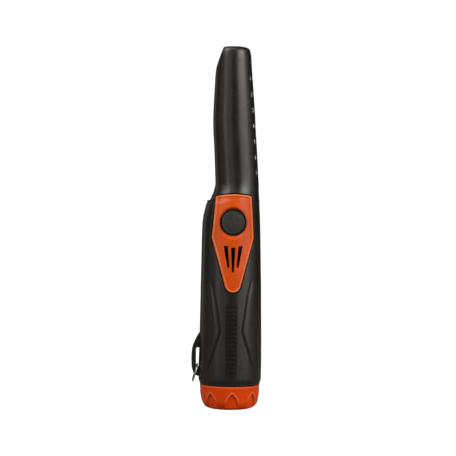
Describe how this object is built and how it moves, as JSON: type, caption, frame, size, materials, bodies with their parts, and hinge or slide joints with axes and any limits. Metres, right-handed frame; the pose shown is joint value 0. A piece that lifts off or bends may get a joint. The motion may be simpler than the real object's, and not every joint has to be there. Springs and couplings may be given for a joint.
{
  "type": "pinpointer probe",
  "caption": "Slim hand-held metal-detecting probe with a tapering black casing, front push button and sounder panel, orange screw-on battery cap and lanyard loop.",
  "frame": {"origin": "where the axis of the battery cap meets its flat base, which the probe stands on", "axes": "+Z along the probe from the cap to the sensing tip, -Y out of the front with the button, -X towards the lanyard loop"},
  "size_m": [0.0443, 0.0392, 0.228],
  "materials": {
    "casing_plastic": "satin",
    "orange_plastic": "satin",
    "loop_plastic": "satin",
    "button_rubber": "matte",
    "seal_rubber": "matte",
    "screw_steel": "satin",
    "mesh_steel": "matte",
    "scale_print": "matte",
    "ring_steel": "polished",
    "board_laminate": "satin",
    "chip_plastic": "matte",
    "inner_plastic": "matte",
    "lens_clear": "gloss",
    "led_resin": "gloss",
    "motor_steel": "satin",
    "weight_alloy": "satin",
    "ferrite": "matte",
    "copper_wire": "satin",
    "shield_film": "satin",
    "red_wire": "satin",
    "black_wire": "satin",
    "contact_metal": "satin",
    "battery_jacket": "satin",
    "cell_can": "satin"
  },
  "bodies": {
    "housing": {"front_shell": "casing_plastic", "rear_shell": "casing_plastic", "shell_seal": "seal_rubber", "casing_screws": "screw_steel", "control_panel": "orange_plastic", "button_seal": "seal_rubber", "seal_retainer": "inner_plastic", "switch_body": "chip_plastic", "circuit_board": "board_laminate", "controller_chip": "chip_plastic", "board_parts": "chip_plastic", "board_screws": "screw_steel", "sounder": "chip_plastic", "sounder_mesh": "mesh_steel", "length_scale": "scale_print", "lamp_bezel": "casing_plastic", "lamp_lens": "lens_clear", "lamp_led": "led_resin", "lamp_leads": "screw_steel", "motor_can": "motor_steel", "motor_boot": "seal_rubber", "ferrite_core": "ferrite", "coil_former": "inner_plastic", "search_coil": "copper_wire", "coil_shield": "shield_film", "core_mount_tip": "inner_plastic", "core_mount_rear": "inner_plastic", "coil_lead": "black_wire", "battery_tube": "casing_plastic", "contact_plate": "board_laminate", "contact_snaps": "contact_metal", "battery_lead_red": "red_wire", "battery_lead_black": "black_wire", "cap_oring": "seal_rubber", "battery_case": "battery_jacket", "battery_lid": "chip_plastic", "battery_cells": "cell_can", "battery_studs": "contact_metal", "lanyard_loop": "loop_plastic"},
    "button": {"power_button": "button_rubber", "switch_plunger": "inner_plastic"},
    "vibration_rotor": {"motor_shaft": "screw_steel", "eccentric_weight": "weight_alloy"},
    "cap_carrier": {"pressure_plate": "inner_plastic", "pressure_pad": "seal_rubber"},
    "battery_cap": {"battery_cap": "orange_plastic", "pivot_screw": "screw_steel"},
    "split_ring": {"split_ring": "ring_steel"}
  },
  "joints": [
    {"name": "button_press", "type": "slide", "parent": "housing", "child": "button", "axis": [0, 1, 0], "range_m": [0, 0.0008], "stiffness_N_per_m": 2000, "springref_m": -0.0005},
    {"name": "rotor_spin", "type": "hinge", "parent": "housing", "child": "vibration_rotor", "pos_m": [0, 0.008, 0.088], "axis": [0, 0, 1], "continuous": true},
    {"name": "cap_slide", "type": "slide", "parent": "housing", "child": "cap_carrier", "axis": [0, 0, -1], "range_m": [0, 0.0361]},
    {"name": "cap_turn", "type": "hinge", "parent": "cap_carrier", "child": "battery_cap", "pos_m": [0, 0, 0], "axis": [0, 0, -1], "range_deg": [0, 1440]},
    {"name": "ring_swing", "type": "hinge", "parent": "housing", "child": "split_ring", "pos_m": [-0.02062, 0, 0.02755], "axis": [0, 1, 0], "range_deg": [-8, 100]}
  ],
  "couplings": [
    {"joint": "cap_slide", "follows": "cap_turn", "m_per_rad": 0.0014324}
  ]
}
